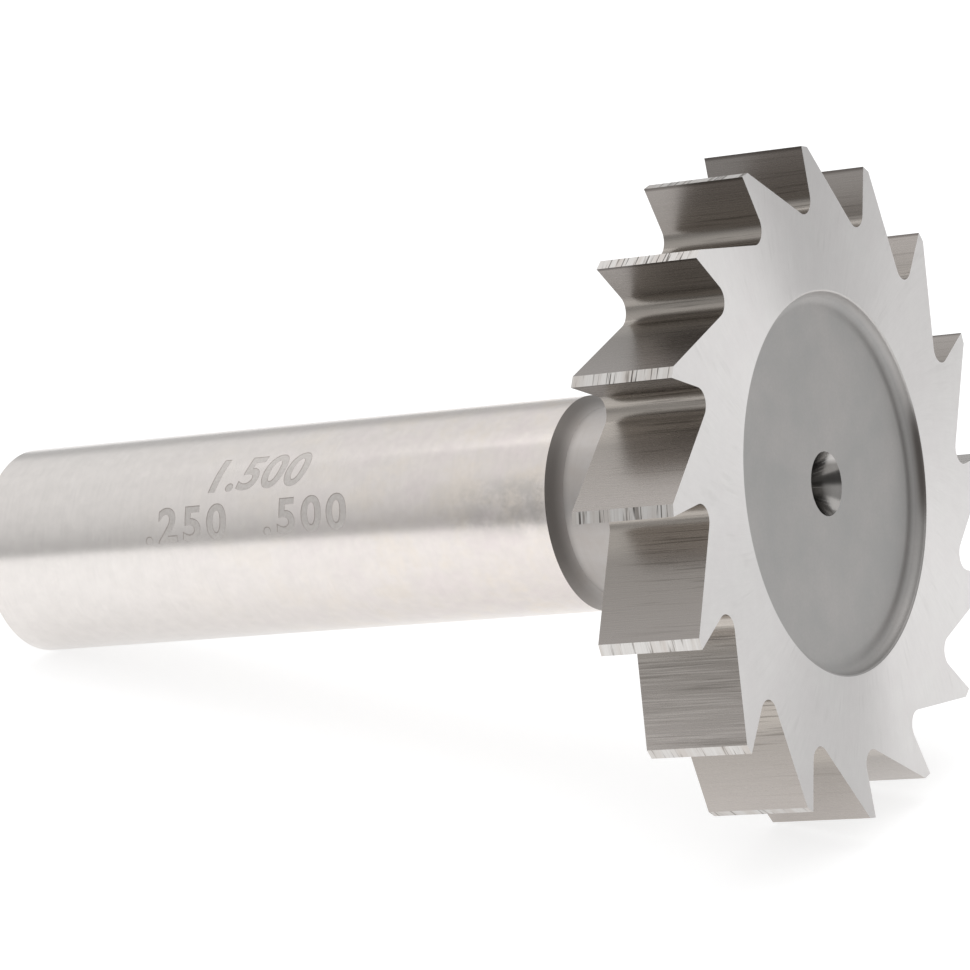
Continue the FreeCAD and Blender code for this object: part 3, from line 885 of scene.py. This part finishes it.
def turned_neck():
    made, tree, shader = steel("turned_neck", 0.40, 0.3)
    tool = tool_coordinates(tree)
    rounds = stretch(tree, (0.0, 0.0, tool["along"]), (0.0, 0.0, 1.0))
    lines = noise(tree, rounds, 9.0, 3.0, 0.6)
    colour = ramp(tree, lines, [(0.3, NECK_DARK), (0.7, NECK_LIGHT)])
    cloud = ramp(tree, noise(tree, tool["point"], 0.6, 4.0, 0.65), [(0.4, 0.0), (0.7, 0.6)])
    colour = blend(tree, cloud, colour, NECK_CLOUD)
    scale = fade(tree, tool["along"], STEP_FRONT + 0.2, STEP_FRONT - 0.8, 0.0, 0.9, soft=True)
    # Painted light: the dark scale ring is thinned low down, standing in for light from the floor.
    scale_share_painted_lit_below = fade(tree, lift_above_floor(tree), 10.5 * mm, 14.5 * mm, 0.35, 1.0)
    colour = blend(tree, times(tree, scale, scale_share_painted_lit_below), colour, SCALE)
    tree.links.new(colour, shader.inputs["Base Color"])
    spread_across(tree, shader)
    raise_by(tree, shader, lines, 0.2)
    return made


NECK_FINISH = turned_neck()
print("finish:", NECK_FINISH.name)

# %% [markdown]
# The numbers in MATERIAL_OF are places in the object's list of materials, so the finishes are
# appended in that order.

# %% Give the skin its finishes
for finish in (SIDE_FINISH, SPACE_FINISH, RECESS_FINISH, LAND_FINISH, SHANK_FINISH, NECK_FINISH,
               CENTRE_FINISH):
    cutter.data.materials.append(finish)
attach(cutter, "root")
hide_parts("keyseat_cutter")
print([material.name for material in cutter.data.materials])

# %% [markdown]
# The shank carries an etched mark in two rows. Here it gives only plain sizes in inches: the head
# on top, the face and the shank below. Text in Blender is a curve. It is turned into a flat mesh,
# cut into narrow strips, and then wrapped round the shank. An etched letter has a matte floor. Its
# darker rim is painted shadow inside the etching, wider on the side away from the light. So each
# row is made twice: a slightly fatter dark letter, and the matte one over it, a few thousandths of
# a millimetre higher.

# %% Lay out one row of the mark
STRIP = 0.12 * mm
FIGURE_SHARE = 0.69


def flat_text(body, height, slant, spacing, fatter):
    """The text as a flat mesh, its figures this high, with the middle of the row at x = 0."""
    curve = bpy.data.curves.new("mark", "FONT")
    curve.body = body
    curve.align_x = "CENTER"
    curve.size = height / FIGURE_SHARE
    curve.shear = slant
    curve.space_character = spacing
    curve.offset = fatter
    curve.resolution_u = 6
    holder = bpy.data.objects.new("mark_text", curve)
    bpy.context.scene.collection.objects.link(holder)
    bpy.context.view_layer.update()
    flat = bpy.data.meshes.new_from_object(holder.evaluated_get(
        bpy.context.evaluated_depsgraph_get()))
    bpy.data.objects.remove(holder)
    bpy.data.curves.remove(curve)
    return flat


def cut_in_strips(letters):
    """Cut the flat letters across, so that they can bend round the shank."""
    heights = [vertex.co.y for vertex in letters.verts]
    cut = min(heights) + STRIP
    while cut < max(heights):
        parts = letters.verts[:] + letters.edges[:] + letters.faces[:]
        bmesh.ops.bisect_plane(letters, geom=parts, plane_co=(0, cut, 0), plane_no=(0, 1, 0))
        cut += STRIP


print("strips are", STRIP / mm, "mm wide")

# %% [markdown]
# Wrapped letters need a little body, or they would flicker against the shank. So they are extruded
# down into it, and only their tops stay proud. The two finishes differ in tone alone.

# %% Etched size mark
MARK_SUNK = 0.030 * mm
RIM_FATTER = 0.085 * mm
FLOOR_FATTER = 0.05 * mm
RIM_PROUD = 0.003 * mm
FLOOR_PROUD = 0.006 * mm

# The matte letter sits a hair off the dark one, so that more of the painted shadow rim shows on
# one side, away from the light.
FLOOR_SHIFT = 0.0225 * mm
FLOOR_TURN = 0.3

# For each row: height, slant and spacing of its figures, place along the axis and angle round it.
ROWS = (("upper", "1.500", 2.15 * mm, 0.28, 1.06, -36.6 * mm, -118),
        ("lower", ".250  .500", 2.0 * mm, 0.0, 1.24, -36.9 * mm, -92))


def etched_finish(name, dark, light):
    made, tree, shader = steel(name, 0.50)
    grain = noise(tree, tool_coordinates(tree)["point"], 7.0, 3.0)
    colour = ramp(tree, grain, [(0.3, dark), (0.7, light)])
    tree.links.new(colour, shader.inputs["Base Color"])
    return made


def etch_row(name, flat, proud, middle, baseline, finish):
    """One row of the mark: middle is its place along the axis, baseline its angle."""
    letters = bmesh.new()
    letters.from_mesh(flat)
    cut_in_strips(letters)
    lower = bmesh.ops.extrude_face_region(letters, geom=letters.faces[:])["geom"]
    for item in lower:
        if isinstance(item, bmesh.types.BMVert):
            item.co.z -= proud + MARK_SUNK
    for vertex in letters.verts:
        angle = baseline - math.degrees(vertex.co.y / SHANK_RADIUS)
        spot = polar(SHANK_RADIUS + proud + vertex.co.z, angle)
        vertex.co = (spot.x, spot.y, middle + vertex.co.x)
    bmesh.ops.recalc_face_normals(letters, faces=letters.faces)
    mesh = bpy.data.meshes.new(name)
    letters.to_mesh(mesh)
    letters.free()
    mesh.transform(LIE)
    mesh.shade_smooth()
    mesh.set_sharp_from_angle(angle=SHARP)
    mesh.materials.append(finish)
    made = bpy.data.objects.new(name, mesh)
    bpy.context.scene.collection.objects.link(made)
    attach(made, "root")
    print(name, len(mesh.polygons), "faces")


ETCH_FLOOR = etched_finish("etched_floor", (0.56, 0.53, 0.505), (0.65, 0.62, 0.60))
# The dark rim finish is painted shadow inside the etched letters.
ETCH_SHADOW_RIM = etched_finish("etched_rim_painted_shadow", (0.37, 0.335, 0.31), (0.47, 0.435, 0.41))
for row, body, height, slant, spacing, middle, baseline in ROWS:
    rim = flat_text(body, height, slant, spacing, RIM_FATTER)
    etch_row(f"mark_{row}_rim", rim, RIM_PROUD, middle, baseline, ETCH_SHADOW_RIM)
    letter = flat_text(body, height, slant, spacing, FLOOR_FATTER)
    etch_row(f"mark_{row}", letter, FLOOR_PROUD, middle + FLOOR_SHIFT, baseline + FLOOR_TURN,
             ETCH_FLOOR)

# %% [markdown]
# The floor is plain pale card. Seen by the camera or in the steel it has to read as white paper,
# so Light Path adds a little glow for those rays only. Every other ray sees ordinary card, which
# keeps the soft shadow under the tool. The card ends a little way in front of the tool, on the
# side of the camera. Steel shows what lies beyond that edge, and there the grey line along the
# shank begins.

# %% Floor
CARD_FRONT = 0.06
CARD_REACH = 3.0
CARD_GREY = 0.44
GLOW_SEEN = 0.72
GLOW_IN_STEEL = 0.68
CAMERA_TURN = 150


def heading(turn, rise):
    """A direction, turned clockwise from +Y as seen from above, and raised, in degrees."""
    turn, rise = math.radians(turn), math.radians(rise)
    return Vector((math.sin(turn) * math.cos(rise), math.cos(turn) * math.cos(rise),
                   math.sin(rise)))


def card_finish():
    made = bpy.data.materials.new("floor_card")
    made.use_nodes = True
    tree = made.node_tree
    shader = tree.nodes["Principled BSDF"]
    shader.inputs["Base Color"].default_value = (CARD_GREY,) * 3 + (1,)
    shader.inputs["Roughness"].default_value = 0.9
    shader.inputs["Specular IOR Level"].default_value = 0.0
    path = add_node(tree, "ShaderNodeLightPath").outputs
    mirrored = calculate(tree, "MAXIMUM", path["Is Glossy Ray"], path["Is Transmission Ray"])
    glow = calculate(tree, "ADD", times(tree, path["Is Camera Ray"], GLOW_SEEN),
                     times(tree, mirrored, GLOW_IN_STEEL))
    shader.inputs["Emission Color"].default_value = (1, 1, 1, 1)
    tree.links.new(glow, shader.inputs["Emission Strength"])
    return made


front = heading(CAMERA_TURN, 0)
beside = heading(CAMERA_TURN + 90, 0)
corners = [front * near + beside * side for near, side in (
    (CARD_FRONT, -CARD_REACH), (CARD_FRONT, CARD_REACH),
    (-CARD_REACH, CARD_REACH), (-CARD_REACH, -CARD_REACH))]
floor_mesh = bpy.data.meshes.new("floor")
floor_mesh.from_pydata(corners, [], [(3, 2, 1, 0)])
floor = bpy.data.objects.new("floor", floor_mesh)
bpy.context.scene.collection.objects.link(floor)
floor_mesh.materials.append(card_finish())
print("floor normal", [round(value, 2) for value in floor_mesh.polygons[0].normal])

# %% [markdown]
# Bright steel is a mirror of the room, so the room is most of its look. The world here is a soft
# light tent: bright overhead, and dimmer low down on the camera's side. A few places in it are
# darker. One is the opening that the camera looks through, which is the bar in the centre hole.
# Others are low dark stands that the front of the head faces. They stop sharply where the card
# begins, and the ground steel draws that border out into one side of its fan. The camera itself
# sees white.

# %% The tent around the tool
# Tent greys by height: -1 is straight down, 0 level and 1 straight up.
TENT_FRONT = [(-0.10, 0.50), (0.05, 0.50), (0.17, 0.62), (0.36, 0.74), (0.60, 0.84), (1.0, 0.84)]
TENT_BACK = [(-0.10, 0.74), (0.15, 0.75), (0.50, 0.84), (1.0, 0.84)]

# A place in the tent: heading and rise of its middle, and how far its core and its edge reach,
# all in degrees. Each dark place has its grey as well.
FRONT_SIDE = (180, 0, 60, 110)
DARK_PLACES = {
    "camera opening": ((150, 2, 14, 28), 0.18),
    "stand before the head, near side": ((112, 8, 8, 28), 0.36),
    "stand before the head, far side": ((65, 7, 7, 25), 0.27),
    "behind the head": ((28, 16, 6, 20), 0.60),
    "behind the shank": ((-36, 2, 10, 24), 0.52),
    "high past the shank's end": ((-97, 57, 4, 12), 0.50),
}


def near_place(tree, toward, turn, rise, inner, outer):
    """1 within inner degrees of a direction, falling to 0 at outer degrees from it."""
    facing = add_node(tree, "ShaderNodeVectorMath", {0: toward, 1: heading(turn, rise)},
                      operation="DOT_PRODUCT").outputs["Value"]
    rim, core = math.cos(math.radians(outer)), math.cos(math.radians(inner))
    return fade(tree, facing, rim, core, soft=True)


def tent_side(tree, height, stops):
    """The tent's greys by height, as a ramp from straight down to straight up."""
    return ramp(tree, height, [(0.5 + 0.5 * place, grey) for place, grey in stops])


def light_tent():
    world = bpy.data.worlds.new("light_tent")
    bpy.context.scene.world = world
    world.use_nodes = True
    tree = world.node_tree
    toward = add_node(tree, "ShaderNodeTexCoord").outputs["Generated"]
    upward = add_node(tree, "ShaderNodeSeparateXYZ", {0: toward}).outputs[2]
    height = calculate(tree, "MULTIPLY_ADD", upward, 0.5, 0.5)
    front_share = near_place(tree, toward, *FRONT_SIDE)
    tent = blend(tree, front_share, tent_side(tree, height, TENT_BACK),
                 tent_side(tree, height, TENT_FRONT))
    for place, grey in DARK_PLACES.values():
        tent = blend(tree, near_place(tree, toward, *place), tent, (grey,) * 3)
    path = add_node(tree, "ShaderNodeLightPath").outputs
    colour = blend(tree, path["Is Camera Ray"], tent, (1.0, 1.0, 1.0))
    tree.links.new(colour, tree.nodes["Background"].inputs["Color"])


light_tent()
print(len(DARK_PLACES), "darker places in the tent")

# %% [markdown]
# One weak lamp hangs over the tool. It is a large soft square, so it adds a gentle gleam and gives
# the soft shadow its direction, while the tent does most of the lighting.

# %% Softbox
LAMP_SIZE = 0.9
LAMP_PLACE = (-0.15, 0.1, 0.9)
LAMP_POWER = 2.5

lamp_data = bpy.data.lights.new("softbox", "AREA")
lamp_data.size = LAMP_SIZE
lamp_data.energy = LAMP_POWER
softbox = bpy.data.objects.new("softbox", lamp_data)
softbox.location = LAMP_PLACE
softbox.rotation_euler = (-softbox.location).to_track_quat("-Z", "Y").to_euler()
bpy.context.scene.collection.objects.link(softbox)
print("softbox", LAMP_POWER, "W at", LAMP_PLACE[2], "m")

# %% [markdown]
# The camera stands where the photographer stood, found by fitting a lens to the edges of the teeth
# and the shank. It is a long lens from a little above, with the front of the head turned partly
# away, so near and far teeth are almost the same size.

# %% Camera
CAMERA_PLACE = Vector((135.386, -235.431, 107.317)) * mm
CAMERA_AIM = Vector((8.598, -9.930, 19.724)) * mm
CAMERA_LENS = 177.95
CAMERA_ROLL = 0.18

camera_data = bpy.data.cameras.new("camera")
camera_data.lens = CAMERA_LENS
camera_data.sensor_width = 36.0
camera_data.clip_start = 0.01
camera = bpy.data.objects.new("camera", camera_data)
bpy.context.scene.collection.objects.link(camera)
looking = (CAMERA_AIM - CAMERA_PLACE).to_track_quat("-Z", "Y").to_matrix()
roll = Matrix.Rotation(math.radians(CAMERA_ROLL), 3, "Z")
camera.matrix_world = Matrix.Translation(CAMERA_PLACE) @ (looking @ roll).to_4x4()
bpy.context.scene.camera = camera
bpy.context.scene.view_settings.view_transform = "Standard"
print(f"camera {(CAMERA_AIM - CAMERA_PLACE).length / mm:.1f} mm from what it looks at")
